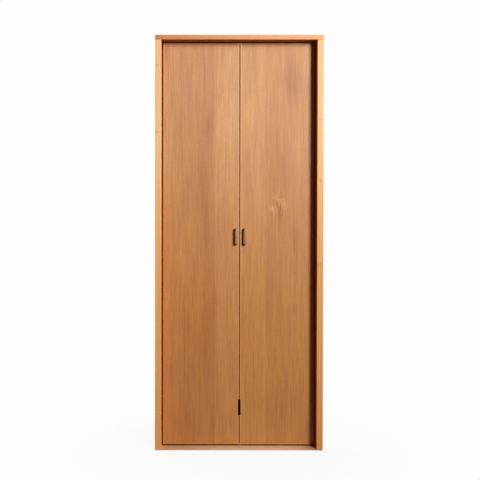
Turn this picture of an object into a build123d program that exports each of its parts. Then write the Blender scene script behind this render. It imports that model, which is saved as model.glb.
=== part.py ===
"""Bi-fold door: two flush wood leaves, hinged together at the back, in a four-sided wood frame.

Millimetres, +Z up. The front faces -Y. The origin is the middle of the frame's underside.
The left leaf turns on pins in brackets at the left jamb. The right leaf hangs from the left one
by three butt hinges, and a pin on its top runs along a channel let into the head.
"""

import os

from build123d import *

os.makedirs("parts", exist_ok=True)

# Leaves
leaf_height = 2032
left_leaf_width = 386
right_leaf_width = 376
leaf_thickness = 35
lipping_width = 7
leaf_arris = 1.2

# Clearances round the leaves
joint_gap = 3
pivot_gap = 7
free_gap = 5
top_gap = 3
bottom_gap = 6

# Frame
jamb_thickness = 31
head_thickness = 24
sill_thickness = 7
frame_depth = 116
front_reveal = 60
frame_arris = 1.5
right_jamb_joint = 943

# Pile seals in the gaps all round the leaves and between them
seal_depth = 4
joint_seal_depth = 1
edge_seal_depth = 3
edge_seal_inset = 1.5
seal_clearance = 0.3

# Head track: a channel whose lips leave a slot for the pins
track_width = 22
track_height = 17
track_wall = 1.8
track_end_gap = 1.5
track_slot_clearance = 1.2

# Pivots and guide
pivot_inset = 37
guide_inset = 25
pivot_pin_radius = 4
guide_pin_radius = 3
pin_depth = 38
running_clearance = 0.05
collar_radius = 7.5
collar_height = 1.4
guide_head_height = 1
shoulder_clearance = 0.8
roller_height = 8
roller_lift = 0.8
roller_clearance = 0.5
top_bracket_length = 48
top_bracket_height = 9
bracket_plate = 2
bracket_width = 25
bracket_reach = 76
bracket_leg = 60
bracket_corner = 4
bracket_bend = 1
bracket_boss_radius = 7
bracket_boss_height = 1.5

# Joint hinges
hinge_height = 75
hinge_plate = 2
hinge_reach = 30
hinge_corner = 3
hinge_pin_radius = 2.5
knuckle_count = 3
knuckle_clearance = 0.3
knuckle_side_clearance = 0.6
pin_head_height = 1.6
hinge_from_top = 180
hinge_from_bottom = 280
hinge_below_pull = 80

# Pulls
pull_length = 84
pull_width = 11
pull_projection = 23
pull_bar = 5.5
pull_outer_bend = 7
pull_inner_bend = 2.5
pull_arris = 1.4
left_pull_offset = 17
right_pull_offset = 27
pull_centre_height = 1068

# Finger slot across the meeting edges, with a cup in each leaf
slot_width = 13
slot_height = 84
slot_wall = 1.2
slot_centre_height = 202

# Places that follow from the sizes
opening_width = pivot_gap + left_leaf_width + joint_gap + right_leaf_width + free_gap
left_opening = -opening_width / 2
right_opening = opening_width / 2
frame_left = left_opening - jamb_thickness
frame_right = right_opening + jamb_thickness
frame_front = -frame_depth / 2
frame_back = frame_depth / 2
left_leaf_start = left_opening + pivot_gap
left_leaf_end = left_leaf_start + left_leaf_width
right_leaf_start = left_leaf_end + joint_gap
right_leaf_end = right_leaf_start + right_leaf_width
joint_centre = left_leaf_end + joint_gap / 2
leaf_front = frame_front + front_reveal
leaf_back = leaf_front + leaf_thickness
leaf_centre = leaf_front + leaf_thickness / 2
leaf_bottom = sill_thickness + bottom_gap
leaf_top = leaf_bottom + leaf_height
soffit = leaf_top + top_gap
pivot_x = left_leaf_start + pivot_inset
guide_x = right_leaf_end - guide_inset
track_slot = 2 * (pivot_pin_radius + track_slot_clearance)


def block(low, high):
    """A box from its lowest corner to its highest."""
    size = [b - a for a, b in zip(low, high)]
    return Pos(*low) * Box(*size, align=(Align.MIN, Align.MIN, Align.MIN))


def post(x, y, radius, bottom, top):
    """An upright cylinder."""
    return Pos(x, y, bottom) * Cylinder(radius, top - bottom, align=(Align.CENTER, Align.CENTER, Align.MIN))


def turned(x, y, bottom, steps, bore=0):
    """A turned piece on an upright axis. Its steps are radius and length, from the bottom up."""
    height = bottom
    outline = [(bore, height)]
    for radius, length in steps:
        outline.append((radius, height))
        height += length
        outline.append((radius, height))
    outline.append((bore, height))
    section = Plane.XZ * make_face(Polyline(*outline, close=True))
    return Pos(x, y, 0) * revolve(section, Axis.Z)


def save(name, solid):
    export_step(solid, f"parts/{name}.step")


# Frame
# The head runs over both jambs, and the sill is a thin board between them. The right jamb is
# made up of two lengths, butted end to end.
def jamb(near, far, bottom, top):
    """A length of jamb, with its long edges eased on the side of the opening."""
    board = block((min(near, far), frame_front, bottom), (max(near, far), frame_back, top))
    return fillet(board.edges().filter_by(Axis.Z).filter_by_position(Axis.X, near, near), frame_arris)


save("left_jamb", jamb(left_opening, frame_left, 0, soffit))
save("right_jamb_lower", jamb(right_opening, frame_right, 0, right_jamb_joint))
save("right_jamb_upper", jamb(right_opening, frame_right, right_jamb_joint, soffit))

head = block((frame_left, frame_front, soffit), (frame_right, frame_back, soffit + head_thickness))
head = fillet(head.edges().filter_by(Axis.X), frame_arris)
groove = block(
    (left_opening, leaf_centre - track_width / 2, soffit),
    (right_opening, leaf_centre + track_width / 2, soffit + track_height),
)
save("head_board", head - groove)

sill = block((left_opening, frame_front, 0), (right_opening, frame_back, sill_thickness))
save("sill", fillet(sill.edges().filter_by(Axis.X).group_by(Axis.Z)[-1], frame_arris))


# Pile seals between and beside the leaves
# A strip of pile on each jamb closes the gap beside the leaf, level with the leaf's back. A thinner
# strip on the left leaf's meeting edge closes the joint, behind the cups of the finger slot.
seal_front = leaf_back - seal_depth
left_seal_edge = left_leaf_start - seal_clearance
right_seal_edge = right_leaf_end + seal_clearance
save("left_pile_seal", block((left_opening, seal_front, sill_thickness), (left_seal_edge, leaf_back, soffit)))
save("right_pile_seal", block((right_seal_edge, seal_front, sill_thickness), (right_opening, leaf_back, soffit)))

joint_seal_front = leaf_back - slot_wall
joint_seal_back = joint_seal_front + joint_seal_depth
joint_seal_edge = right_leaf_start - seal_clearance
joint_seal = block((left_leaf_end, joint_seal_front, leaf_bottom), (joint_seal_edge, joint_seal_back, leaf_top))
save("joint_pile_seal", joint_seal)


# Head track
# One extruded section, lying in the head's groove with its slot downwards.
inner_width = track_width - 2 * track_wall
inner_height = track_height - 2 * track_wall
track_section = Rectangle(track_width, track_height) - Rectangle(inner_width, inner_height)
track_section -= Pos(0, -(track_height - track_wall) / 2) * Rectangle(track_slot, track_wall)
track_plane = Plane((0, leaf_centre, soffit + track_height / 2), x_dir=(0, 1, 0), z_dir=(1, 0, 0))
save("head_track", extrude(track_plane * track_section, opening_width / 2 - track_end_gap, both=True))


# Leaves
# Each one is a veneered panel with a solid lipping glued to each of its four edges. The finger
# slot cuts the left leaf's meeting lipping into an upper and a lower length.
def slot_outline(inset):
    """The finger slot's outline on the leaves' front, made smaller by an inset."""
    centre = (joint_centre, leaf_front, slot_centre_height)
    outline = SlotOverall(slot_height - 2 * inset, slot_width - 2 * inset, rotation=90)
    return Plane(centre, x_dir=(1, 0, 0), z_dir=(0, -1, 0)) * outline


def stile(start, end, bottom, top, outer_side):
    """A lipping along a leaf's upright edge, eased on that edge."""
    strip = block((start, leaf_front, bottom), (end, leaf_back, top))
    return fillet(strip.edges().filter_by(Axis.Z).group_by(Axis.X)[outer_side], leaf_arris)


def rail(start, end, bottom, top, outer_side):
    """A lipping along a leaf's top or bottom edge, eased on that edge."""
    strip = block((start, leaf_front, bottom), (end, leaf_back, top))
    return fillet(strip.edges().filter_by(Axis.X).group_by(Axis.Z)[outer_side], leaf_arris)


slot_pocket = extrude(slot_outline(0), -leaf_thickness)
slot_hollow = extrude(slot_outline(slot_wall), slot_wall - leaf_thickness)

for side, start, end in (
    ("left", left_leaf_start, left_leaf_end),
    ("right", right_leaf_start, right_leaf_end),
):
    inner_start = start + lipping_width
    inner_end = end - lipping_width
    inner_bottom = leaf_bottom + lipping_width
    inner_top = leaf_top - lipping_width
    panel = block((inner_start, leaf_front, inner_bottom), (inner_end, leaf_back, inner_top)) - slot_pocket
    top_lipping = rail(inner_start, inner_end, inner_top, leaf_top, -1)
    bottom_lipping = rail(inner_start, inner_end, leaf_bottom, inner_bottom, 0)
    if side == "left":
        upper_bore = post(pivot_x, leaf_centre, pivot_pin_radius, leaf_top - pin_depth, leaf_top)
        lower_bore = post(pivot_x, leaf_centre, pivot_pin_radius, leaf_bottom, leaf_bottom + pin_depth)
        panel -= lower_bore
        bottom_lipping -= lower_bore
        upper_meeting = stile(inner_end, end, slot_centre_height, leaf_top, -1)
        lower_meeting = stile(inner_end, end, leaf_bottom, slot_centre_height, -1)
        save("left_outer_lipping", stile(start, inner_start, leaf_bottom, leaf_top, 0))
        save("left_meeting_lipping_upper", upper_meeting - slot_pocket)
        save("left_meeting_lipping_lower", lower_meeting - slot_pocket)
    else:
        upper_bore = post(guide_x, leaf_centre, guide_pin_radius, leaf_top - pin_depth, leaf_top)
        save("right_outer_lipping", stile(inner_end, end, leaf_bottom, leaf_top, -1))
        save("right_meeting_lipping", stile(start, inner_start, leaf_bottom, leaf_top, 0) - slot_pocket)
    save(f"{side}_leaf_panel", panel - upper_bore)
    save(f"{side}_top_lipping", top_lipping - upper_bore)
    save(f"{side}_bottom_lipping", bottom_lipping)

    # Pile strips along the top and bottom edges, just behind the leaf's front
    strip_front = leaf_front + edge_seal_inset
    strip_back = strip_front + edge_seal_depth
    save(f"{side}_head_seal", block((start, strip_front, leaf_top), (end, strip_back, soffit - seal_clearance)))
    foot_seal = block((start, strip_front, sill_thickness + seal_clearance), (end, strip_back, leaf_bottom))
    save(f"{side}_foot_seal", foot_seal)

    # The part of the slot's cup in this leaf, flush with its front, back and edge
    whole_leaf = block((start, leaf_front, leaf_bottom), (end, leaf_back, leaf_top))
    save(f"{side}_slot_cup", (slot_pocket - slot_hollow) & whole_leaf)


# Pulls
# A flat bar bent to a bridge: two legs square to the leaf, joined by the grip.
def bridge(length, projection, bend):
    """The bridge's outline from the side, open towards the leaf."""
    front = leaf_front - projection
    low = pull_centre_height - length / 2
    high = pull_centre_height + length / 2
    outline = make_face(
        Polyline((leaf_front, low), (front, low), (front, high), (leaf_front, high), close=True)
    )
    return Plane.YZ * fillet(outline.vertices().filter_by_position(Axis.X, front, front), bend)


outer_bridge = bridge(pull_length, pull_projection, pull_outer_bend)
inner_bridge = bridge(pull_length - 2 * pull_bar, pull_projection - pull_bar, pull_inner_bend)
for side, offset in (("left", -left_pull_offset), ("right", right_pull_offset)):
    pull = extrude(outer_bridge - inner_bridge, pull_width / 2, both=True)
    side_edges = pull.faces().filter_by(Axis.X).edges()
    seated = side_edges.filter_by_position(Axis.Y, leaf_front, leaf_front)
    pull = chamfer(side_edges - seated, pull_arris)
    save(f"{side}_pull", Pos(joint_centre + offset, 0, 0) * pull)


# Pivots at the left jamb
# The collars carry the leaf. The upper pin turns in a block in the track, the lower one in the
# boss of an angle bracket that is screwed to the sill and the jamb.
track_floor = soffit + track_wall
top_bracket = block(
    (pivot_x - top_bracket_length / 2, leaf_centre - inner_width / 2, track_floor),
    (pivot_x + top_bracket_length / 2, leaf_centre + inner_width / 2, track_floor + top_bracket_height),
)
pin_hole_radius = pivot_pin_radius + running_clearance
top_bracket -= post(pivot_x, leaf_centre, pin_hole_radius, track_floor, track_floor + top_bracket_height)
save("top_pivot_bracket", top_bracket)

pin_reach = track_floor + top_bracket_height - leaf_top - collar_height
top_pin_steps = ((pivot_pin_radius, pin_depth), (collar_radius, collar_height), (pivot_pin_radius, pin_reach))
save("top_pivot_pin", turned(pivot_x, leaf_centre, leaf_top - pin_depth, top_pin_steps))

angle = make_face(
    Polyline(
        (0, 0),
        (bracket_reach, 0),
        (bracket_reach, bracket_plate),
        (bracket_plate, bracket_plate),
        (bracket_plate, bracket_leg),
        (0, bracket_leg),
        close=True,
    )
)
inside_corner = angle.vertices().sort_by_distance((bracket_plate, bracket_plate))[0]
angle = fillet(inside_corner, bracket_bend)
outside_corner = angle.vertices().sort_by_distance((0, 0))[0]
angle = fillet(outside_corner, bracket_bend + bracket_plate)
angle_plane = Plane((left_opening, leaf_centre, sill_thickness), x_dir=(1, 0, 0), z_dir=(0, -1, 0))
bottom_bracket = extrude(angle_plane * angle, bracket_width / 2, both=True)
ends = bottom_bracket.edges().filter_by(Axis.X).group_by(Axis.Z)[-1]
ends += bottom_bracket.edges().filter_by(Axis.Z).group_by(Axis.X)[-1]
bottom_bracket = fillet(ends, bracket_corner)

plate_top = sill_thickness + bracket_plate
boss_top = plate_top + bracket_boss_height
bottom_bracket += post(pivot_x, leaf_centre, bracket_boss_radius, plate_top, boss_top)
bottom_bracket -= post(pivot_x, leaf_centre, pin_hole_radius, sill_thickness, boss_top)
save("bottom_pivot_bracket", bottom_bracket)

bottom_pin = post(pivot_x, leaf_centre, pivot_pin_radius, sill_thickness, leaf_bottom + pin_depth)
nut = extrude(RegularPolygon(collar_radius, 6), leaf_bottom - boss_top)
save("bottom_pivot_pin", bottom_pin + Pos(pivot_x, leaf_centre, boss_top) * nut)


# Guide at the top of the right leaf
# The roller rests on the pin's shoulder, clear of the track's lips.
roller_bottom = track_floor + roller_lift
shoulder_radius = track_slot / 2 - shoulder_clearance
guide_steps = (
    (guide_pin_radius, pin_depth),
    (collar_radius, collar_height),
    (shoulder_radius, roller_bottom - leaf_top - collar_height),
    (guide_pin_radius, roller_height),
    (shoulder_radius, guide_head_height),
)
save("guide_pin", turned(guide_x, leaf_centre, leaf_top - pin_depth, guide_steps))

roller_steps = ((inner_width / 2 - roller_clearance, roller_height),)
roller_bore = guide_pin_radius + running_clearance
save("guide_roller", turned(guide_x, leaf_centre, roller_bottom, roller_steps, roller_bore))


# Joint hinges
# Each plate is a strap with an eye rolled at its edge. The eyes are cut into knuckles, so that
# those of the two plates alternate along the pin, behind the joint of the leaves.
hinge_bore = hinge_pin_radius + running_clearance
knuckle_radius = hinge_bore + hinge_plate
axis_y = leaf_back + knuckle_radius
knuckle_pitch = hinge_height / knuckle_count


def strap(turn, middle, first_knuckle):
    """One plate of a hinge, to the left (-1) or the right (1) of the pin, with every second knuckle."""
    bottom = middle - hinge_height / 2
    top = middle + hinge_height / 2
    far = joint_centre + turn * hinge_reach
    flat = block(
        (min(joint_centre, far), leaf_back, bottom), (max(joint_centre, far), leaf_back + hinge_plate, top)
    )
    flat = fillet(flat.edges().filter_by(Axis.Y).filter_by_position(Axis.X, far, far), hinge_corner)
    plate = flat + post(joint_centre, axis_y, knuckle_radius, bottom, top)
    plate -= post(joint_centre, axis_y, hinge_bore, bottom, top)

    # Room for the other plate's knuckles
    half_room = knuckle_radius + knuckle_side_clearance
    for k in range(1 - first_knuckle, knuckle_count, 2):
        low = bottom + k * knuckle_pitch - (knuckle_clearance / 2 if k else 0)
        high = bottom + (k + 1) * knuckle_pitch + (knuckle_clearance / 2 if k < knuckle_count - 1 else 0)
        plate -= block(
            (joint_centre - half_room, leaf_back, low), (joint_centre + half_room, axis_y + half_room, high)
        )
    return plate


hinge_heights = {
    "upper": leaf_top - hinge_from_top,
    "middle": pull_centre_height - pull_length / 2 - hinge_below_pull,
    "lower": leaf_bottom + hinge_from_bottom,
}
for place, middle in hinge_heights.items():
    save(f"{place}_hinge_left_plate", strap(-1, middle, 0))
    save(f"{place}_hinge_right_plate", strap(1, middle, 1))
    pin_steps = ((hinge_pin_radius, hinge_height), (knuckle_radius, pin_head_height))
    save(f"{place}_hinge_pin", turned(joint_centre, axis_y, middle - hinge_height / 2, pin_steps))
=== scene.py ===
import math

import bpy
import numpy as np
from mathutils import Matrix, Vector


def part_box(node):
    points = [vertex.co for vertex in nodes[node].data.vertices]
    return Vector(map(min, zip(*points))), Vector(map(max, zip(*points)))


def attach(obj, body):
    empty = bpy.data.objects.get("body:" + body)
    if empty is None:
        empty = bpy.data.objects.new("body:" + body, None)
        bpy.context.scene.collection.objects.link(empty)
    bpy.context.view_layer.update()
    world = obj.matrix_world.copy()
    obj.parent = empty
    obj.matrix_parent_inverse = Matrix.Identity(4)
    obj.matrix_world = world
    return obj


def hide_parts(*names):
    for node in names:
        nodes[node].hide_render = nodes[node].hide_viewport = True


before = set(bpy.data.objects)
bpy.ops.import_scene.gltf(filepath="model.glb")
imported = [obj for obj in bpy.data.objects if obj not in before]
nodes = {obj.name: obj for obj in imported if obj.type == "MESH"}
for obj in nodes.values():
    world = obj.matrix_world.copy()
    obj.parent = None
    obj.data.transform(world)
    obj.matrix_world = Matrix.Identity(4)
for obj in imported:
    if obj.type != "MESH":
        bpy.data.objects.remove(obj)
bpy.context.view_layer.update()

scene = bpy.context.scene


# View
# The camera stands square to the front, left of the middle and just above half height, and its
# frame is shifted to take in the whole door.
view = bpy.data.cameras.new("view")
view.sensor_width = 36
view.lens = 59.514
view.shift_x = 0.0992
view.shift_y = -0.0174
camera = bpy.data.objects.new("view", view)
camera.location = (-0.2228, -4.013, 1.1396)
camera.rotation_euler = (math.radians(89.328), math.radians(-0.068), math.radians(0.145))
scene.collection.objects.link(camera)
scene.camera = camera
scene.view_settings.view_transform = "Standard"


# Stage
# A pale floor under a white surround. Seen directly they are white all round, and in a reflection
# behind the door and beside it, but not on the lamp's side, where the studio is dark. They light the
# door only dimly, and the floor still darkens where the door's shadow falls.
def put(tree, kind, inputs=(), **settings):
    """Adds a node. Each input is named by its socket and is a value, or the output that feeds it."""
    made = tree.nodes.new(kind)
    for name, value in settings.items():
        setattr(made, name, value)
    for name, value in dict(inputs).items():
        if isinstance(value, bpy.types.NodeSocket):
            tree.links.new(value, made.inputs[name])
        else:
            made.inputs[name].default_value = value
    return made


def maths(tree, operation, *values):
    """The result of a Math node."""
    return put(tree, "ShaderNodeMath", enumerate(values), operation=operation).outputs[0]


def ramp(tree, value, start, end, low=0.0, high=1.0, shape="SMOOTHSTEP"):
    """A value taken from start..end to low..high."""
    inputs = {"Value": value, "From Min": start, "From Max": end, "To Min": low, "To Max": high}
    return put(tree, "ShaderNodeMapRange", inputs, interpolation_type=shape).outputs[0]


def seen(tree, along):
    """1 for what the camera sees, directly or in a reflection or glass behind the door, and 0 for light
    that falls on things. Along is a direction or place, and its y tells the lamp's side from the back."""
    path = put(tree, "ShaderNodeLightPath").outputs
    y = put(tree, "ShaderNodeSeparateXYZ", {0: along}).outputs["Y"]
    mirrored = maths(tree, "MAXIMUM", path["Is Glossy Ray"], path["Is Transmission Ray"])
    mirrored = maths(tree, "MULTIPLY", mirrored, ramp(tree, y, -0.7, 0.1, 0.12, 1.0))
    return maths(tree, "MAXIMUM", path["Is Camera Ray"], mirrored)


surround_white = (0.985, 0.985, 0.985, 1)
surround = bpy.data.worlds.new("surround")
surround.use_nodes = True
scene.world = surround
tree = surround.node_tree
tree.nodes.clear()
ways = put(tree, "ShaderNodeTexCoord").outputs["Generated"]
dim = put(tree, "ShaderNodeBackground", {"Color": (1.0, 0.86, 0.72, 1), "Strength": 0.04})
white = put(tree, "ShaderNodeBackground", {"Color": surround_white, "Strength": 1})
mixed = put(tree, "ShaderNodeMixShader", {0: seen(tree, ways), 1: dim.outputs[0], 2: white.outputs[0]})
put(tree, "ShaderNodeOutputWorld", {"Surface": mixed.outputs[0]})

# Near the door the paper is a little greyer: its white share rises to full between these distances.
grey_near, grey_far, grey_share = 0.42, 1.00, 0.93
floor_paper = bpy.data.materials.new("floor_paper")
floor_paper.use_nodes = True
tree = floor_paper.node_tree
tree.nodes.clear()
place = put(tree, "ShaderNodeTexCoord").outputs["Object"]
sight = seen(tree, place)
away = put(tree, "ShaderNodeVectorMath", {0: place}, operation="LENGTH").outputs["Value"]
fade = ramp(tree, away, grey_near, grey_far, grey_share, 1.0)
tones = {0: sight, 6: (0.16, 0.14, 0.12, 1), 7: (0.8, 0.8, 0.79, 1)}
tone = put(tree, "ShaderNodeMix", tones, data_type="RGBA").outputs[2]
paper = put(tree, "ShaderNodeBsdfDiffuse", {"Color": tone})
glow = put(tree, "ShaderNodeEmission", {"Color": surround_white, "Strength": 1})
share = maths(tree, "MULTIPLY", sight, fade)
mixed = put(tree, "ShaderNodeMixShader", {0: share, 1: paper.outputs[0], 2: glow.outputs[0]})
put(tree, "ShaderNodeOutputMaterial", {"Surface": mixed.outputs[0]})

# The floor lies just below the door's underside, so that the two faces never share a plane.
floor_half = 9
floor_level = -0.0004
floor_mesh = bpy.data.meshes.new("floor")
corners = [(x * floor_half, y * floor_half, floor_level) for x, y in ((-1, -1), (1, -1), (1, 1), (-1, 1))]
floor_mesh.from_pydata(corners, [], [(0, 1, 2, 3)])
floor_mesh.materials.append(floor_paper)
floor = bpy.data.objects.new("floor", floor_mesh)
scene.collection.objects.link(floor)


def softbox(name, place, aim, width, height, power, spread=180):
    """A studio lamp, turned to face a point. Spread is the angle that its light keeps within."""
    lamp = bpy.data.lights.new(name, "AREA")
    lamp.shape = "RECTANGLE"
    lamp.size = width
    lamp.size_y = height
    lamp.energy = power
    lamp.spread = math.radians(spread)
    holder = bpy.data.objects.new(name, lamp)
    holder.location = place
    direction = Vector(aim) - Vector(place)
    holder.rotation_euler = direction.to_track_quat("-Z", "Y").to_euler()
    scene.collection.objects.link(holder)


# The key lamp stands in front, high on the right. The other one lights the door's back.
softbox("key", (2.86, -5.0, 3.04), (0.0, 0.0, 2.3), 1.33, 2.2, 168, 110)
softbox("back", (-2.6, 3.2, 2.4), (0.0, 0.0, 1.0), 1.6, 1.6, 150)


# Frame boards
# Solid softwood, planed and clear varnished: the head over both jambs, the right jamb in two lengths,
# and the sill between them. The figure is cut from growth rings, so it runs as lines on the faces and
# as arcs on the ends. The inner faces of the head and right jamb, and the sill's front face, are darkened
# to a redder brown as painted shade. The right jamb's upper part carries a painted sheen, and the sill's
# right end a painted shadow.
def group(name, inputs, outputs):
    """A new node group with named sockets. Returns it, its input outputs and its output node."""
    made = bpy.data.node_groups.new(name, "ShaderNodeTree")
    for socket, (kind, value) in inputs.items():
        added = made.interface.new_socket(socket, in_out="INPUT", socket_type=f"NodeSocket{kind}")
        added.default_value = value
    for socket, kind in outputs.items():
        made.interface.new_socket(socket, in_out="OUTPUT", socket_type=f"NodeSocket{kind}")
    return made, made.nodes.new("NodeGroupInput").outputs, made.nodes.new("NodeGroupOutput")


def use(tree, made, inputs):
    """Places a node group and returns its outputs."""
    placed = tree.nodes.new("ShaderNodeGroup")
    placed.node_tree = made
    for name, value in inputs.items():
        if isinstance(value, bpy.types.NodeSocket):
            tree.links.new(value, placed.inputs[name])
        else:
            placed.inputs[name].default_value = value
    return placed.outputs


def vector(tree, operation, *values):
    """The result of a Vector Math node."""
    made = put(tree, "ShaderNodeVectorMath", enumerate(values), operation=operation)
    return made.outputs["Value" if operation in ("LENGTH", "DOT_PRODUCT") else "Vector"]


def noise(tree, place, stretch, detail=2, roughness=0.5):
    """Noise about a half, with so many features a metre along each axis."""
    stretched = vector(tree, "MULTIPLY", place, stretch)
    inputs = {"Vector": stretched, "Scale": 1.0, "Detail": detail, "Roughness": roughness}
    return put(tree, "ShaderNodeTexNoise", inputs).outputs["Fac"]


def mix(tree, factor, first, second, way="MIX"):
    """Two colours mixed. A plain triple stands for a colour."""
    inputs = {0: factor, 6: first, 7: second}
    for number in (6, 7):
        if isinstance(inputs[number], tuple):
            inputs[number] = (*inputs[number], 1)
    return put(tree, "ShaderNodeMix", inputs, data_type="RGBA", blend_type=way).outputs[2]


fibres, given, out = group(
    "fibres",
    {"Vector": ("Vector", (0, 0, 0)), "Coarse": ("Float", 110.0)},
    {"Line": "Float", "Fibre": "Float", "Pore": "Float"},
)
# Lines, fibres and pores are noise drawn out along the grain, each finer than the last.
across = put(fibres, "ShaderNodeCombineXYZ", {0: given["Coarse"], 1: given["Coarse"], 2: 1.1}).outputs[0]
fibres.links.new(noise(fibres, given["Vector"], across, 3, 0.6), out.inputs["Line"])
fibres.links.new(noise(fibres, given["Vector"], (900, 900, 9), 2, 0.6), out.inputs["Fibre"])
pore = noise(fibres, given["Vector"], (1500, 1500, 38), 1, 0.5)
fibres.links.new(ramp(fibres, pore, 0.62, 0.74), out.inputs["Pore"])

timber, given, out = group(
    "timber",
    {
        "Vector": ("Vector", (0, 0, 0)),
        "Pith": ("Vector", (0, 0, 0)),
        "Ring": ("Float", 0.003),
        "Pale": ("Color", (1, 1, 1, 1)),
        "Deep": ("Color", (0, 0, 0, 1)),
    },
    {"Color": "Color", "Roughness": "Float", "Height": "Float"},
)
# The distance from the wandering pith, counted in rings. Each ring darkens slowly and ends sharply.
centred = vector(timber, "SUBTRACT", given["Vector"], given["Pith"])
wide = {"Vector": vector(timber, "MULTIPLY", given["Vector"], (5, 5, 0.8)), "Scale": 1.0, "Detail": 1}
drift = put(timber, "ShaderNodeTexNoise", wide).outputs["Color"]
drift = vector(timber, "MULTIPLY", vector(timber, "SUBTRACT", drift, (0.5, 0.5, 0.5)), (0.03, 0.03, 0))
level = vector(timber, "MULTIPLY", vector(timber, "ADD", centred, drift), (1, 1, 0))
away = vector(timber, "LENGTH", level)
count = maths(timber, "DIVIDE", away, given["Ring"])
slow = {"W": maths(timber, "MULTIPLY", count, 0.35), "Scale": 1.0}
uneven = put(timber, "ShaderNodeTexNoise", slow, noise_dimensions="1D").outputs["Fac"]
phase = maths(timber, "FRACT", maths(timber, "ADD", count, maths(timber, "MULTIPLY", uneven, 2.2)))
late = maths(timber, "MULTIPLY", ramp(timber, phase, 0.25, 0.9), ramp(timber, phase, 0.93, 1.0, 1.0, 0.0))
hair = use(timber, fibres, {"Vector": given["Vector"]})
broad = noise(timber, given["Vector"], (14, 14, 1.0), 2)
tone = maths(timber, "MULTIPLY_ADD", late, 0.42, maths(timber, "MULTIPLY_ADD", broad, 0.8, -0.28))
tone = maths(timber, "MULTIPLY_ADD", maths(timber, "SUBTRACT", hair["Line"], 0.5), 0.9, tone)
tone = maths(timber, "MULTIPLY_ADD", maths(timber, "SUBTRACT", hair["Fibre"], 0.5), 0.5, tone)
colour = mix(timber, tone, given["Pale"], given["Deep"])
colour = mix(timber, maths(timber, "MULTIPLY", hair["Pore"], 0.35), colour, (0.16, 0.05, 0.02))
timber.links.new(colour, out.inputs["Color"])
timber.links.new(ramp(timber, hair["Fibre"], 0.2, 0.8, 0.40, 0.52, "LINEAR"), out.inputs["Roughness"])
height = maths(timber, "MULTIPLY_ADD", hair["Fibre"], 0.5, maths(timber, "MULTIPLY", hair["Pore"], -0.8))
timber.links.new(maths(timber, "MULTIPLY_ADD", late, 0.25, height), out.inputs["Height"])

painted_height_light, given, out = group(
    "painted_height_light",
    {
        "Vector": ("Vector", (0, 0, 0)),
        "Color": ("Color", (1, 1, 1, 1)),
        "Foot": ("Color", (0.96, 0.88, 0.60, 1)),
        "Top": ("Color", (0.99, 1.05, 1.12, 1)),
    },
    {"Color": "Color"},
)
# Painted light: the colour is made deeper and yellower towards the door's foot, as painted shade, and paler
# towards its top, as painted sheen.
height = put(painted_height_light, "ShaderNodeSeparateXYZ", {0: given["Vector"]}).outputs["Z"]
tint = mix(painted_height_light, ramp(painted_height_light, height, 0.7, 1.9), given["Foot"], given["Top"])
painted_height_light.links.new(mix(painted_height_light, 1.0, given["Color"], tint, "MULTIPLY"), out.inputs["Color"])

spot, given, out = group(
    "spot",
    {
        "Vector": ("Vector", (0, 0, 0)),
        "Centre": ("Vector", (0, 0, 0)),
        "Width": ("Float", 0.01),
        "Height": ("Float", 0.01),
        "Turn": ("Float", 0.0),
    },
    {"Mask": "Float"},
)
# A soft oval: it falls off as the bell curve of the distance, counted in half widths. It fades out
# between two depths, so that the backs of the leaves and of the frame have none.
mark_depth = (0.018, 0.021)
centred = vector(spot, "SUBTRACT", given["Vector"], given["Centre"])
turn = {"Vector": centred, "Angle": given["Turn"]}
turned = put(spot, "ShaderNodeVectorRotate", turn, rotation_type="Y_AXIS").outputs[0]
halves = put(spot, "ShaderNodeCombineXYZ", {0: given["Width"], 1: 1.0, 2: given["Height"]}).outputs[0]
scaled = vector(spot, "MULTIPLY", vector(spot, "DIVIDE", turned, halves), (1, 0, 1))
square = vector(spot, "DOT_PRODUCT", scaled, scaled)
depth = put(spot, "ShaderNodeSeparateXYZ", {0: given["Vector"]}).outputs["Y"]
bell = maths(spot, "EXPONENT", maths(spot, "MULTIPLY", square, -1.0))
front = ramp(spot, depth, *mark_depth, 1.0, 0.0)
spot.links.new(maths(spot, "MULTIPLY", bell, front), out.inputs["Mask"])

parting, given, out = group(
    "parting",
    {
        "Vector": ("Vector", (0, 0, 0)),
        "Centre": ("Vector", (0, 0, 0)),
        "Width": ("Float", 0.01),
        "Height": ("Float", 0.03),
        "Share": ("Float", 0.7),
    },
    {"Vector": "Vector"},
)
# Grain lines part round a knot: near it, places are drawn in towards its centre line.
near = use(parting, spot, {name: given[name] for name in ("Vector", "Centre", "Width", "Height")})["Mask"]
centred = vector(parting, "SUBTRACT", given["Vector"], given["Centre"])
share = maths(parting, "MULTIPLY", near, given["Share"])
pull = put(parting, "ShaderNodeVectorMath", {0: centred, "Scale": share}, operation="SCALE").outputs[0]
sideways = vector(parting, "MULTIPLY", pull, (1, 0, 0))
parting.links.new(vector(parting, "SUBTRACT", given["Vector"], sideways), out.inputs["Vector"])


def along_grain(tree, place, axis):
    """A place, turned so that the grain runs up Z."""
    if axis == "Z":
        return place
    return put(tree, "ShaderNodeMapping", {"Vector": place, "Rotation": (0, math.radians(-90), 0)}).outputs[0]


def varnished(tree, colour, roughness, height, bump, gloss=0.5):
    """A satin varnish over wood."""
    place = put(tree, "ShaderNodeTexCoord").outputs["Object"]
    # The height tint adds painted shade at the foot and painted sheen at the top.
    colour = use(tree, painted_height_light, {"Vector": place, "Color": colour})["Color"]
    relief = put(tree, "ShaderNodeBump", {"Height": height, "Strength": bump, "Distance": 0.0003})
    inputs = {
        "Base Color": colour,
        "Roughness": roughness,
        "Specular IOR Level": gloss,
        "Normal": relief.outputs[0],
    }
    shader = put(tree, "ShaderNodeBsdfPrincipled", inputs)
    put(tree, "ShaderNodeOutputMaterial", {"Surface": shader.outputs[0]})


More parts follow.
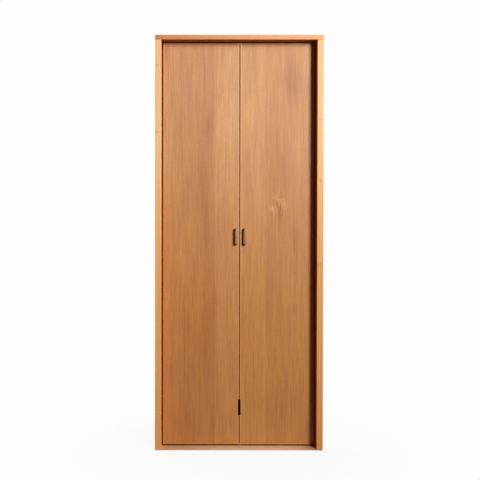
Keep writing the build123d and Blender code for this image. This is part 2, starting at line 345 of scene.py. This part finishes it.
def tint_in_ovals(tree, colour, place, oval_marks_and_light):
    """Multiplies a colour by soft ovals. Each is a centre x and z, half width, half height, turn in degrees
    and tint."""
    for x, z, width, height, degrees, tint in oval_marks_and_light:
        oval = {"Vector": place, "Centre": (x, 0, z), "Width": width, "Height": height}
        oval["Turn"] = math.radians(degrees)
        colour = mix(tree, use(tree, spot, oval)["Mask"], colour, tint, "MULTIPLY")
    return colour


def board(name, axis, pith, ring, pale, deep, knots=(), oval_marks_and_light=(), inner_painted_shade=None, gloss=0.5):
    """A solid board's material. A knot is its centre x and z, half width and strength. An inner face's painted
    shade is the axis, the range over which the board's colour goes from that painted dark to its own, and the
    tint."""
    material = bpy.data.materials.new(name)
    material.use_nodes = True
    tree = material.node_tree
    tree.nodes.clear()
    place = put(tree, "ShaderNodeTexCoord").outputs["Object"]
    laid = place
    for x, z, size, _ in knots:
        oval = {"Vector": laid, "Centre": (x, 0, z), "Width": size * 2.6, "Height": size * 7, "Share": 0.75}
        laid = use(tree, parting, oval)["Vector"]
    grown = {"Pith": pith, "Ring": ring, "Pale": (*pale, 1), "Deep": (*deep, 1)}
    made = use(tree, timber, {"Vector": along_grain(tree, laid, axis), **grown})
    colour = tint_in_ovals(tree, made["Color"], place, oval_marks_and_light)
    knot_brown = (0.42, 0.26, 0.20)
    for x, z, size, strength in knots:
        around = tuple(1 - 0.35 * strength * (1 - c) for c in knot_brown)
        core = tuple(1 - strength * (1 - c) for c in knot_brown)
        marks = ((x, z, size * 2.4, size * 3.2, 0, around), (x, z, size * 0.9, size * 1.2, 0, core))
        colour = tint_in_ovals(tree, colour, place, marks)
    # Painted shade: the inner face is tinted darker and redder, towards the front only.
    if inner_painted_shade:
        part, start, end, tint = inner_painted_shade
        parts = put(tree, "ShaderNodeSeparateXYZ", {0: place}).outputs
        painted_shade_mask = ramp(tree, parts[part], start, end, 1.0, 0.0)
        front = ramp(tree, parts["Y"], *mark_depth, 1.0, 0.0)
        colour = mix(tree, maths(tree, "MULTIPLY", painted_shade_mask, front), colour, tint, "MULTIPLY")
    varnished(tree, colour, made["Roughness"], made["Height"], 0.35, gloss)
    return material


def dress(material, *names):
    """Gives CAD nodes their material."""
    for name in names:
        nodes[name].data.materials.clear()
        nodes[name].data.materials.append(material)


# Each board has its own place in a log, so no two have the same figure.
left_jamb_knots = ((-0.4096, 1.922, 0.0018, 0.8), (-0.4100, 1.587, 0.0024, 0.9), (-0.404, 0.62, 0.0014, 0.6))
left_jamb_stains = (
    (-0.4050, 1.55, 0.0300, 0.25, 0, (1.04, 1.12, 1.16)),
    (-0.4050, 0.00, 0.0300, 0.55, 0, (1.00, 0.90, 0.94)),
    (-0.3985, 1.00, 0.0012, 9.00, 0, (0.90, 0.84, 0.80)),
)
dress(
    board("left_jamb_wood", "Z", (-0.28, 0.35, 0), 0.0030, (0.93, 0.49, 0.21), (0.70, 0.31, 0.11),
          left_jamb_knots, left_jamb_stains),
    "left_jamb",
)

# Painted shade for the soffit and the right jamb's inner face, which face away from the key lamp.
painted_recess_shade = (0.62, 0.26, 0.05)
right_jamb_painted_shade = ("X", 0.3892, 0.3900, painted_recess_shade)
upper_knots = ((0.4040, 1.652, 0.0018, 0.7), (0.4045, 1.348, 0.0024, 0.9))
upper_marks_and_sheen = (
    (0.4050, 0.955, 0.0300, 0.010, 0, (1.02, 1.02, 1.12)),
    # Painted sheen: the upper part is made paler and bluer.
    (0.4050, 1.750, 0.0300, 0.400, 0, (1.00, 1.14, 1.30)),
    (0.4075, 1.900, 0.0014, 0.700, 0, (0.90, 0.84, 0.80)),
    # Painted highlight along the outer arris.
    (0.4180, 1.900, 0.0030, 0.500, 0, (1.05, 1.10, 1.20)),
)
dress(
    board("right_jamb_wood", "Z", (0.27, 0.36, 0), 0.0030, (0.86, 0.43, 0.165), (0.62, 0.255, 0.08),
          upper_knots, upper_marks_and_sheen, right_jamb_painted_shade, gloss=0.2),
    "right_jamb_upper",
)
lower_stains = (
    (0.4050, 0.930, 0.0300, 0.012, 0, (0.93, 0.88, 0.84)),
    (0.4050, 0.000, 0.0300, 0.150, 0, (0.95, 0.86, 0.84)),
    (0.4075, 0.300, 0.0014, 0.700, 0, (0.84, 0.76, 0.70)),
    (0.4170, 0.200, 0.0050, 0.500, 0, (0.88, 0.80, 0.74)),
)
dress(
    board("right_jamb_foot_wood", "Z", (0.55, 0.30, 0.4), 0.0032, (0.83, 0.40, 0.165), (0.59, 0.235, 0.082),
          oval_marks_and_light=lower_stains, inner_painted_shade=right_jamb_painted_shade, gloss=0.2),
    "right_jamb_lower",
)

head_knots = ((-0.080, 2.0575, 0.0014, 0.7), (0.094, 2.0575, 0.0014, 0.6))
head_stains = (
    (-0.42, 2.06, 0.45, 0.1, 0, (0.80, 0.70, 0.63)),
    (-0.42, 2.06, 0.03, 0.1, 0, (0.86, 0.84, 0.80)),
)
dress(
    board("head_wood", "X", (-2.3, 0.30, 0), 0.0032, (0.78, 0.365, 0.150), (0.57, 0.228, 0.078),
          head_knots, head_stains, ("Z", 2.0487, 2.0495, painted_recess_shade), gloss=0.2),
    "head_board",
)

sill_marks_and_shadow = (
    (-0.34, 0.0, 0.16, 0.1, 0, (0.82, 0.70, 0.60)),
    # Painted shadow of the right jamb on the sill's right end.
    (0.39, 0.0, 0.08, 0.1, 0, (0.62, 0.50, 0.42)),
)
dress(
    board("sill_wood", "X", (-0.2, 0.30, 0), 0.0034, (1.0, 0.76, 0.68), (0.95, 0.64, 0.55),
          # The sill's front face gets a painted shade too.
          oval_marks_and_light=sill_marks_and_shadow, inner_painted_shade=("Z", 0.0064, 0.0069, (0.92, 0.74, 0.64))),
    "sill",
)


# Leaves
# Blockboard faced with upright veneer, lipped with solid wood and satin varnished. Each face is two sheets
# of veneer of different tone that meet at a seam. It has stains and pale patches, a painted shadow under
# the head, painted shade in the top left corner and painted sheen beside the joint, and the right one a
# knot that its grain parts round.
def leaf(name, seed, pale, deep, seam, side_tint, oval_marks_and_light, knot=None):
    """A veneered face. Its wood is tinted from the seam to the right."""
    material = bpy.data.materials.new(name)
    material.use_nodes = True
    tree = material.node_tree
    tree.nodes.clear()
    place = put(tree, "ShaderNodeTexCoord").outputs["Object"]
    laid = place
    if knot:
        oval = {"Vector": place, "Centre": knot, "Width": 0.030, "Height": 0.075, "Share": 0.8}
        laid = use(tree, parting, oval)["Vector"]
    moved = vector(tree, "ADD", vector(tree, "MULTIPLY", laid, (1, 30, 1)), (seed, 0, seed * 3.7))
    waver = maths(tree, "SUBTRACT", noise(tree, moved, (7, 1, 1.6), 1), 0.5)
    sway = put(tree, "ShaderNodeCombineXYZ", {0: maths(tree, "MULTIPLY", waver, 0.012)}).outputs[0]
    moved = vector(tree, "ADD", moved, sway)
    hair = use(tree, fibres, {"Vector": moved, "Coarse": 230.0})
    # Broad streaks first, then finer lines, then mottle and flecks across them.
    layers = (
        ((11, 1, 3.2), 3, 0.80),
        ((46, 1, 2.0), 2, 0.80),
        ((120, 1, 4.0), 2, 0.85),
        ((240, 1, 8.0), 2, 1.25),
        ((34, 1, 20), 2, 0.30),
        ((280, 1, 90), 1, 0.70),
    )
    tone = 0.0
    for stretch, detail, share in layers:
        layer = maths(tree, "SUBTRACT", noise(tree, moved, stretch, detail), 0.5)
        tone = maths(tree, "MULTIPLY_ADD", layer, share, tone)
    tone = maths(tree, "MULTIPLY_ADD", maths(tree, "SUBTRACT", hair["Line"], 0.5), 0.75, tone)
    tone = maths(tree, "MULTIPLY_ADD", maths(tree, "SUBTRACT", hair["Fibre"], 0.5), 0.45, tone)
    colour = mix(tree, maths(tree, "ADD", tone, 0.5), pale, deep)
    cast = ramp(tree, noise(tree, moved, (24, 1, 4.5), 3), 0.32, 0.68)
    colour = mix(tree, 1.0, colour, mix(tree, cast, (1.02, 1.01, 0.92), (0.98, 0.99, 1.07)), "MULTIPLY")
    colour = mix(tree, maths(tree, "MULTIPLY", hair["Pore"], 0.3), colour, (0.17, 0.055, 0.02))
    x = put(tree, "ShaderNodeSeparateXYZ", {0: vector(tree, "ADD", place, sway)}).outputs["X"]
    colour = mix(tree, ramp(tree, x, seam - 0.003, seam + 0.003), colour, side_tint, "MULTIPLY")
    colour = tint_in_ovals(tree, colour, place, oval_marks_and_light)
    rough = ramp(tree, hair["Fibre"], 0.2, 0.8, 0.42, 0.54, "LINEAR")
    height = maths(tree, "MULTIPLY_ADD", hair["Pore"], -0.8, maths(tree, "MULTIPLY", hair["Fibre"], 0.5))
    varnished(tree, colour, rough, height, 0.3)
    return material


# Both faces darken at the head, as a painted shadow of the head, and at the foot.
head_shadow_and_dark_foot = (
    (0.0, 2.050, 0.700, 0.030, 0, (0.80, 0.72, 0.62)),
    (0.0, 0.005, 0.700, 0.022, 0, (0.90, 0.80, 0.68)),
)
left_marks_and_painted_light = (
    # Painted shade in the top left corner, under the head and beside the jamb.
    (-0.375, 1.98, 0.030, 0.09, 0, (0.88, 0.82, 0.76)),
    (-0.154, 1.60, 0.026, 0.16, -6, (0.86, 0.79, 0.72)),
    (-0.176, 1.33, 0.035, 0.16, 3, (0.91, 0.85, 0.78)),
    (-0.165, 1.13, 0.022, 0.13, 0, (0.89, 0.82, 0.74)),
    (-0.145, 0.70, 0.032, 0.28, 0, (0.92, 0.84, 0.74)),
    (-0.215, 0.50, 0.070, 0.22, 0, (0.94, 0.88, 0.78)),
    (-0.275, 0.11, 0.060, 0.10, 0, (0.92, 0.83, 0.72)),
    (-0.130, 0.10, 0.018, 0.09, 0, (0.90, 0.84, 0.78)),
    (-0.285, 1.83, 0.085, 0.11, 0, (0.97, 0.98, 1.08)),
    # Painted sheen beside the joint.
    (-0.060, 1.64, 0.052, 0.14, 0, (1.14, 1.21, 1.24)),
    (-0.070, 1.90, 0.060, 0.10, 0, (1.07, 1.10, 1.12)),
    (-0.378, 0.60, 0.008, 0.70, 0, (1.05, 0.95, 0.78)),
    (-0.365, 1.45, 0.020, 0.45, 0, (0.97, 1.03, 1.07)),
    (-0.080, 0.72, 0.040, 0.35, 0, (1.03, 1.02, 1.10)),
    (-0.165, 0.33, 0.050, 0.22, 0, (0.97, 0.93, 0.87)),
    (-0.340, 1.45, 0.045, 0.35, 0, (1.02, 1.07, 1.05)),
    (-0.040, 1.52, 0.035, 0.20, 0, (1.03, 1.05, 1.07)),
    (-0.190, 0.85, 0.200, 0.55, 0, (1.00, 0.99, 0.95)),
    (-0.025, 1.86, 0.050, 0.16, 0, (1.03, 1.06, 1.11)),
    (-0.330, 1.52, 0.030, 0.22, 0, (1.03, 1.06, 1.06)),
    (-0.055, 1.35, 0.045, 0.14, 0, (1.03, 1.07, 1.10)),
)
right_marks_and_painted_light = (
    # Painted sheen beside the joint.
    (0.042, 1.68, 0.026, 0.08, 0, (1.09, 1.11, 1.04)),
    (0.112, 1.82, 0.018, 0.13, 0, (1.05, 1.04, 0.94)),
    (0.270, 1.86, 0.045, 0.12, 0, (0.87, 0.82, 0.78)),
    (0.225, 1.46, 0.042, 0.12, 0, (0.90, 0.86, 0.84)),
    (0.292, 1.50, 0.016, 0.06, 0, (1.09, 1.10, 1.00)),
    (0.030, 1.00, 0.018, 0.12, 0, (1.00, 0.97, 1.08)),
    (0.285, 1.03, 0.006, 0.09, 0, (0.86, 0.80, 0.74)),
    (0.284, 0.884, 0.0022, 0.004, 0, (0.45, 0.36, 0.30)),
    (0.284, 0.704, 0.0035, 0.030, 0, (0.72, 0.62, 0.52)),
    (0.150, 0.66, 0.012, 0.10, 0, (0.93, 0.87, 0.80)),
    (0.022, 0.55, 0.010, 0.13, 0, (0.96, 0.86, 0.74)),
    (0.035, 1.93, 0.030, 0.12, 0, (1.00, 1.05, 1.13)),
    (0.290, 0.25, 0.060, 0.10, 0, (1.00, 0.96, 1.02)),
    (0.350, 0.06, 0.050, 0.08, 0, (0.89, 0.86, 0.98)),
    (0.240, 0.13, 0.030, 0.09, 0, (0.97, 0.95, 1.05)),
    (0.260, 1.12, 0.130, 0.50, 0, (0.97, 0.95, 0.89)),
    (0.290, 1.88, 0.100, 0.20, 0, (0.96, 0.92, 0.86)),
    # Painted sheen beside the joint.
    (0.075, 1.66, 0.060, 0.16, 0, (1.05, 1.07, 1.06)),
    (0.080, 0.35, 0.070, 0.30, 0, (0.98, 0.94, 0.90)),
    (0.290, 0.38, 0.110, 0.30, 0, (1.04, 1.05, 1.06)),
    # The knot: pale lobes, dark lines where the grain turns, and a brown tail below.
    (0.2260, 1.2350, 0.013, 0.024, 20, (1.34, 1.42, 1.56)),
    (0.1700, 1.2100, 0.020, 0.013, -42, (1.30, 1.38, 1.52)),
    (0.1880, 1.2620, 0.022, 0.007, -14, (1.15, 1.18, 1.20)),
    (0.2090, 1.2640, 0.006, 0.006, 0, (0.80, 0.70, 0.60)),
    (0.1830, 1.2460, 0.014, 0.004, -24, (0.86, 0.78, 0.70)),
    (0.1990, 1.2240, 0.0045, 0.022, 14, (0.66, 0.52, 0.40)),
    (0.2120, 1.2120, 0.0045, 0.026, -10, (0.70, 0.56, 0.44)),
    (0.2060, 1.1750, 0.0090, 0.030, 0, (0.86, 0.74, 0.58)),
    (0.2060, 1.1250, 0.0060, 0.060, 0, (0.96, 0.76, 0.42)),
)
left_seam = -0.119
dress(
    leaf("left_leaf_veneer", 1.3, (0.60, 0.27, 0.105), (0.45, 0.175, 0.06), left_seam, (1.05, 1.09, 1.12),
         head_shadow_and_dark_foot + left_marks_and_painted_light),
    "left_leaf_panel",
)
right_seam = 0.139
right_knot = (0.205, 0, 1.245)
dress(
    leaf("right_leaf_veneer", 5.1, (0.63, 0.295, 0.111), (0.475, 0.19, 0.064), right_seam, (0.93, 0.89, 0.82),
         head_shadow_and_dark_foot + right_marks_and_painted_light, right_knot),
    "right_leaf_panel",
)

# The edging strips. Their tints are painted shade: on the arrises beside the left gap, in the joint, and along
# the gaps over the leaves' tops and under their feet.
lipping_pale = (0.60, 0.26, 0.09)
lipping_deep = (0.45, 0.165, 0.05)
dress(
    board("outer_lipping_wood", "Z", (-0.1, 0.4, 0), 0.0026, lipping_pale, lipping_deep,
          # Painted shade on the arrises beside the left gap.
          oval_marks_and_light=((-0.378, 0.5, 0.02, 0.7, 0, (0.84, 0.90, 0.98)),)),
    "left_outer_lipping", "right_outer_lipping",
)
dress(
    board("meeting_lipping_wood", "Z", (-0.1, 0.4, 0), 0.0026, (0.71, 0.35, 0.16), (0.55, 0.24, 0.09),
          # Painted shade in the joint between the leaves.
          oval_marks_and_light=((0.006, 1.0, 0.0026, 9, 0, (0.25, 0.12, 0.05)),), gloss=0.15),
    "left_meeting_lipping_upper", "left_meeting_lipping_lower", "right_meeting_lipping",
)
# Painted shade along the gaps at the leaves' tops and feet.
level_gap_shade = (
    (0.0, 2.0455, 9, 0.0025, 0, (0.2, 0.1, 0.05)),
    (0.0, 0.0125, 9, 0.0012, 0, (0.3, 0.18, 0.12)),
)
dress(
    board("level_lipping_wood", "X", (-1.0, 0.4, 0), 0.0026, lipping_pale, lipping_deep, oval_marks_and_light=level_gap_shade),
    "left_top_lipping", "left_bottom_lipping", "right_top_lipping", "right_bottom_lipping",
)


# Pulls
# Flat bronze-plated bars, bent twice and screwed on from behind the leaf. The bar is satin, brushed
# along its length, and its long edges are rounded.
def surface(name, points, faces, material):
    """Makes one piece of the door from points and faces, smooth but for its sharp edges."""
    mesh = bpy.data.meshes.new(name)
    mesh.from_pydata(points.reshape(-1, 3).tolist(), [], faces)
    mesh.shade_smooth()
    mesh.set_sharp_from_angle(angle=math.radians(35))
    mesh.materials.append(material)
    piece = bpy.data.objects.new(name, mesh)
    scene.collection.objects.link(piece)
    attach(piece, "root")
    return piece


def band_faces(rings, around):
    """Faces between the rings of a grid of points, and one face over its first and its last ring."""
    number = np.arange(rings * around).reshape(rings, around)
    here, there = number[:-1], number[1:]
    sides = np.stack([here, np.roll(here, -1, 1), np.roll(there, -1, 1), there], -1).reshape(-1, 4)
    return sides.tolist() + [number[0][::-1].tolist(), number[-1].tolist()]


def metal(name, colour, brushing, dull):
    """Brushed or plain plated metal. Brushing is the number of lines a metre along each axis."""
    material = bpy.data.materials.new(name)
    material.use_nodes = True
    tree = material.node_tree
    tree.nodes.clear()
    place = put(tree, "ShaderNodeTexCoord").outputs["Object"]
    scratch = noise(tree, place, brushing, 2, 0.65)
    cloud = noise(tree, place, (60, 60, 60), 2)
    shade = maths(tree, "MULTIPLY_ADD", cloud, 0.5, maths(tree, "MULTIPLY", scratch, 0.6))
    darker = tuple(0.78 * c for c in colour)
    lighter = tuple(min(1.0, 1.12 * c) for c in colour)
    rough = maths(tree, "MULTIPLY_ADD", scratch, 0.16, maths(tree, "MULTIPLY_ADD", cloud, 0.1, dull - 0.13))
    relief = put(tree, "ShaderNodeBump", {"Height": scratch, "Strength": 0.15, "Distance": 0.0001})
    inputs = {
        "Base Color": mix(tree, ramp(tree, shade, 0.25, 0.85), darker, lighter),
        "Metallic": 1.0,
        "Roughness": rough,
        "Normal": relief.outputs[0],
    }
    shader = put(tree, "ShaderNodeBsdfPrincipled", inputs)
    put(tree, "ShaderNodeOutputMaterial", {"Surface": shader.outputs[0]})
    return material


def bar_rings(centre, length, projection, foot, width, thickness, bend):
    """Rings of a bent bar. Its path goes out from the leaf, round a bend, along the grip, round a bend and
    back. Each ring is a rounded oblong, x and y being the signed powers of a cosine and a sine, set
    square to the path."""
    reach = projection - thickness / 2
    half = length / 2 - thickness / 2
    turn = np.linspace(0, math.pi / 2, 13)
    arc = np.stack([reach - bend + bend * np.sin(turn), -half + bend - bend * np.cos(turn)], 1)
    lower = np.concatenate([[[0.0, -half]], arc])
    path = np.concatenate([lower, (lower * (1, -1))[::-1]])
    direction = np.concatenate([[[1.0, 0.0]], np.stack([np.cos(turn), np.sin(turn)], 1)])
    direction = np.concatenate([direction, (direction * (-1, 1))[::-1]])
    side = np.stack([-direction[:, 1], direction[:, 0]], 1)
    angle = np.linspace(0, 2 * math.pi, 40, endpoint=False)
    c, s = np.cos(angle), np.sin(angle)
    rounding = 0.35
    across = np.sign(c) * np.abs(c) ** rounding * width / 2
    through = np.sign(s) * np.abs(s) ** rounding * thickness / 2
    out = path[:, None, 0] + through * side[:, None, 0]
    up = path[:, None, 1] + through * side[:, None, 1]
    return np.stack([np.broadcast_to(centre[0] + across, out.shape), foot - out, centre[1] + up], -1)


bar_thickness = 0.0055
bar_bend = 0.0032
bronze = metal("pull_bronze_satin", (0.36, 0.205, 0.135), (1300, 40, 40), 0.60)
for node in ("left_pull", "right_pull"):
    low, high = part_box(node)
    centre = ((low.x + high.x) / 2, (low.z + high.z) / 2)
    length, projection, width = high.z - low.z, high.y - low.y, high.x - low.x
    rings = bar_rings(centre, length, projection, high.y, width, bar_thickness, bar_bend)
    pull = surface(f"{node}_bar", rings, band_faces(*rings.shape[:2]), bronze)
    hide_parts(node)


# Screws
# Zinc-plated screws with low domed heads and a cross recess. Wood screws hold the hinge plates and the
# bottom bracket. Two machine screws go through each leaf from behind and pull its pull tight.
def screw_heads(name, places, across, up, radius, rise):
    """Screw heads in one mesh. The height is a low rim, and rise times one less the squared share of the
    radius. A cross is sunk in it, flat across each arm and ended by a logistic curve along it. The rim's
    foot is let into the piece that the screw holds."""
    rim, cross_depth, let_in = 0.0002, 0.0009, 0.0003
    arm_half, arm_end, arm_steepness = 0.14, 0.62, 30
    share = np.concatenate([[1.0], np.linspace(1.0, 0.04, 16)])[:, None]
    angle = np.linspace(0, 2 * math.pi, 48, endpoint=False)
    side, along = share * np.cos(angle), share * np.sin(angle)
    arms = np.maximum(np.exp(-((side / arm_half) ** 6)), np.exp(-((along / arm_half) ** 6)))
    arms = arms / (1.0 + np.exp((share - arm_end) * arm_steepness))
    height = rise * (1.0 - share**2) + rim - cross_depth * arms
    height[0] = -let_in
    across, up = np.array(across, float), np.array(up, float)
    flat = side[..., None] * across + along[..., None] * up
    rings = radius * flat + height[..., None] * np.cross(across, up)
    points = np.array(places)[:, None, None] + rings
    faces = band_faces(*rings.shape[:2])
    count = rings.shape[0] * rings.shape[1]
    faces = [[corner + n * count for corner in face] for n in range(len(places)) for face in faces]
    return surface(name, points, faces, screw_zinc)


screw_zinc = metal("screw_zinc", (0.55, 0.55, 0.53), (300, 300, 300), 0.32)
plate = 0.002
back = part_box("left_leaf_panel")[1].y
joint_x = 0.006
hinge_holes = ((-0.022, 0.027), (0.022, 0.027), (-0.016, 0.0), (0.016, 0.0), (-0.022, -0.027), (0.022, -0.027))
hinge_places = []
for node in ("upper_hinge_left_plate", "middle_hinge_left_plate", "lower_hinge_left_plate"):
    low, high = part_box(node)
    hinge_places += [(joint_x + x, back + plate, (low.z + high.z) / 2 + z) for x, z in hinge_holes]
screw_heads("hinge_screws", hinge_places, (-1, 0, 0), (0, 0, 1), 0.0041, 0.0004)

low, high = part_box("bottom_pivot_bracket")
middle = (low.y + high.y) / 2
floor_places = [(x, middle, low.z + plate) for x in (-0.369, -0.3225)]
screw_heads("bracket_floor_screws", floor_places, (1, 0, 0), (0, 1, 0), 0.0038, 0.0004)
jamb_places = [(low.x + plate, middle, z) for z in (0.057, 0.033)]
screw_heads("bracket_jamb_screws", jamb_places, (0, 1, 0), (0, 0, 1), 0.0038, 0.0004)

pull_middle, pull_half_centres = 1.068, 0.03925
pull_heights = (pull_middle - pull_half_centres, pull_middle + pull_half_centres)
pull_places = [(x, back, z) for x in (-0.011, 0.033) for z in pull_heights]
screw_heads("pull_screws", pull_places, (-1, 0, 0), (0, 0, 1), 0.0044, 0.0006)


# Track and pivots
# The track is an extruded aluminium channel, as it came from the die, let into the head. The pivots and the
# guide's pin are turned steel in pressed steel brackets, zinc plated. The bottom bracket has gone dull.
dress(metal("track_aluminium_mill", (0.62, 0.62, 0.62), (8, 700, 700), 0.42), "head_track")
dress(
    metal("pivot_zinc", (0.55, 0.55, 0.53), (90, 90, 90), 0.30),
    "top_pivot_bracket", "top_pivot_pin", "bottom_pivot_pin", "guide_pin",
)
dress(metal("pivot_zinc_dulled", (0.26, 0.22, 0.16), (90, 90, 90), 0.52), "bottom_pivot_bracket")


# Hinges
# Three joint hinges of satin nickel plated steel on the leaves' backs. The plates' eyes are rolled round a
# turned pin, and their knuckles take turns along it.
hinge_nickel = metal("hinge_nickel", (0.50, 0.48, 0.44), (700, 700, 22), 0.36)
for place in ("upper", "middle", "lower"):
    dress(hinge_nickel, f"{place}_hinge_left_plate", f"{place}_hinge_right_plate", f"{place}_hinge_pin")


# Finger slot and guide roller
# The slot at the joint's foot is lined by two matt black moulded cups, one pressed into each leaf's edge;
# their near-total black is also painted shade, standing in for the dark of the slot's hollow.
# The roller is natural nylon, and turns on the guide's pin in the track.
def moulded(name, colour, dull, grain, specular=0.5):
    """Moulded plastic or pile, with a fine surface grain."""
    material = bpy.data.materials.new(name)
    material.use_nodes = True
    tree = material.node_tree
    tree.nodes.clear()
    place = put(tree, "ShaderNodeTexCoord").outputs["Object"]
    speck = noise(tree, place, grain, 2, 0.6)
    relief = put(tree, "ShaderNodeBump", {"Height": speck, "Strength": 0.25, "Distance": 0.0002})
    inputs = {
        "Base Color": mix(tree, speck, tuple(0.8 * c for c in colour), tuple(1.15 * c for c in colour)),
        "Roughness": ramp(tree, speck, 0.2, 0.8, dull - 0.08, dull + 0.08, "LINEAR"),
        "Specular IOR Level": specular,
        "Normal": relief.outputs[0],
    }
    shader = put(tree, "ShaderNodeBsdfPrincipled", inputs)
    put(tree, "ShaderNodeOutputMaterial", {"Surface": shader.outputs[0]})
    return material


slot_cup_black_and_shade = moulded("slot_cup_black_and_painted_shade", (0.004, 0.004, 0.004), 0.75, (1800, 1800, 1800), 0.0)
dress(slot_cup_black_and_shade, "left_slot_cup", "right_slot_cup")
dress(moulded("roller_nylon_natural", (0.72, 0.71, 0.67), 0.45, (500, 500, 500)), "guide_roller")


# Pile seals
# Black wool pile on a woven backing, stuck into the gaps around and between the leaves; its black is also
# painted shade, filling gaps that show only shade. The one beside the left leaf is brown, as painted light
# in the colour of the lit jamb face there. The joint's pile ends in tufts of uneven length, which brush the
# right leaf's edge.
def tufted_edge(name, start, reach, middle, thickness, low, high, material, slot):
    """A thin ribbon up the joint. Its free edge's distance is the reach less a small sum of sines."""
    height = np.linspace(low, high, 900)
    uneven = 0.5 + 0.3 * np.sin(height * 1900) + 0.2 * np.sin(height * 4700 + 1)
    free = start + reach * (1.0 - 0.06 * uneven)
    fixed, rounded = np.full_like(free, start), free - 0.3 * thickness
    x = np.stack([fixed, rounded, free, rounded, fixed], 1)
    y = middle + thickness * np.array([-0.5, -0.5, 0.0, 0.5, 0.5])
    rings = np.stack([x, np.broadcast_to(y, x.shape), np.broadcast_to(height[:, None], x.shape)], -1)
    return surface(name, rings, band_faces(*rings.shape[:2]), material)


seal_wool_and_shade = moulded("seal_wool_and_shade", (0.012, 0.007, 0.005), 0.9, (2500, 2500, 700), 0.0)
dress(
    seal_wool_and_shade,
    "right_pile_seal", "joint_pile_seal", "left_head_seal", "right_head_seal",
    "left_foot_seal", "right_foot_seal",
)
dress(moulded("seal_pile_painted_lit_brown", (0.80, 0.46, 0.22), 0.9, (2500, 2500, 700), 0.0), "left_pile_seal")
low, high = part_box("joint_pile_seal")
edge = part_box("right_meeting_lipping")[0].x
root = high.x - 0.0001
reach = edge - high.x + 0.00008
tuft_thickness = 0.0006
tufts = (root, reach, (low.y + high.y) / 2, tuft_thickness, low.z, high.z)
tufted_edge("joint_pile_tufts", *tufts, seal_wool_and_shade, "seal_pile")
